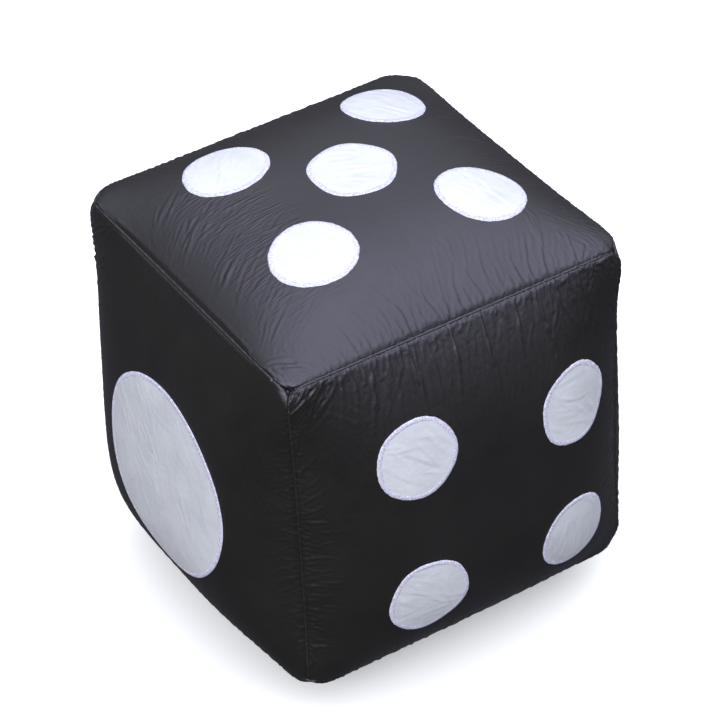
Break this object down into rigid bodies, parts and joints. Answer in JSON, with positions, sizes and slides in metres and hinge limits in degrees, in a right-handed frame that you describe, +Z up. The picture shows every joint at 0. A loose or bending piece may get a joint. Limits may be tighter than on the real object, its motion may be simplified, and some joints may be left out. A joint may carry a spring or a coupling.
{
  "type": "giant yard dice",
  "caption": "Inflatable cube-shaped lawn die: a sewn black nylon cover with stitched-on white pips over a PVC bladder.",
  "frame": {"origin": "bottom centre, on the surface the die rests on", "axes": "+Z up through the five; the four faces -Y, the three +Y, the one -X, the six +X, the two is underneath"},
  "size_m": [0.6217, 0.6221, 0.6122],
  "materials": {
    "black_nylon": "semi-gloss woven nylon",
    "white_nylon": "semi-gloss woven nylon",
    "satin_thread": "shiny embroidery thread",
    "seam_thread": "folded nylon and thread",
    "zipper_tape": "matt woven tape",
    "zipper_coil": "nylon coil",
    "zipper_metal": "black enamel, worn at edges",
    "bladder_film": "clear-grey PVC film"
  },
  "bodies": {
    "cover": {"panel_five": "black_nylon", "panel_two": "black_nylon", "panel_four": "black_nylon", "panel_six": "black_nylon", "panel_three": "black_nylon", "panel_one": "black_nylon", "pip_five_1": "white_nylon", "pip_five_2": "white_nylon", "pip_five_3": "white_nylon", "pip_five_4": "white_nylon", "pip_five_5": "white_nylon", "pip_two_1": "white_nylon", "pip_two_2": "white_nylon", "pip_four_1": "white_nylon", "pip_four_2": "white_nylon", "pip_four_3": "white_nylon", "pip_four_4": "white_nylon", "pip_six_1": "white_nylon", "pip_six_2": "white_nylon", "pip_six_3": "white_nylon", "pip_six_4": "white_nylon", "pip_six_5": "white_nylon", "pip_six_6": "white_nylon", "pip_three_1": "white_nylon", "pip_three_2": "white_nylon", "pip_three_3": "white_nylon", "pip_one": "white_nylon", "stitching_five": "satin_thread", "stitching_two": "satin_thread", "stitching_four": "satin_thread", "stitching_six": "satin_thread", "stitching_three": "satin_thread", "stitching_one": "satin_thread", "seam_top_right": "seam_thread", "seam_top_left": "seam_thread", "seam_top_back": "seam_thread", "seam_top_front": "seam_thread", "seam_bottom_right": "seam_thread", "seam_bottom_left": "seam_thread", "seam_bottom_back": "seam_thread", "seam_bottom_front": "seam_thread", "seam_back_left": "seam_thread", "seam_front_left": "seam_thread", "seam_front_right": "seam_thread", "seam_back_right": "seam_thread", "zipper_tape_left": "zipper_tape", "zipper_tape_right": "zipper_tape", "zipper_coil_left": "zipper_coil", "zipper_coil_right": "zipper_coil", "zipper_stops": "zipper_metal", "bladder": "bladder_film", "valve_flange": "bladder_film", "valve_stem": "bladder_film"},
    "slider": {"zipper_slider": "zipper_metal"},
    "pull": {"zipper_pull": "zipper_metal"},
    "cap": {"valve_cap": "bladder_film", "valve_hinge_strap": "bladder_film"},
    "flap": {"valve_flap": "bladder_film"}
  },
  "joints": [
    {"name": "zipper_slide", "type": "slide", "parent": "cover", "child": "slider", "axis": [0, 0, -1], "range_m": [0, 0.27]},
    {"name": "pull_swing", "type": "hinge", "parent": "slider", "child": "pull", "pos_m": [0.24252, 0.24252, 0.438], "axis": [0.7071, -0.7071, 0], "range_deg": [0, 160]},
    {"name": "valve_cap_hinge", "type": "hinge", "parent": "cover", "child": "cap", "pos_m": [0.22577, 0.1989, 0.303], "axis": [0, 0, -1], "range_deg": [0, 70]},
    {"name": "valve_flap_hinge", "type": "hinge", "parent": "cover", "child": "flap", "pos_m": [0.20364, 0.19091, 0.303], "axis": [0, 0, 1], "range_deg": [0, 60]}
  ]
}
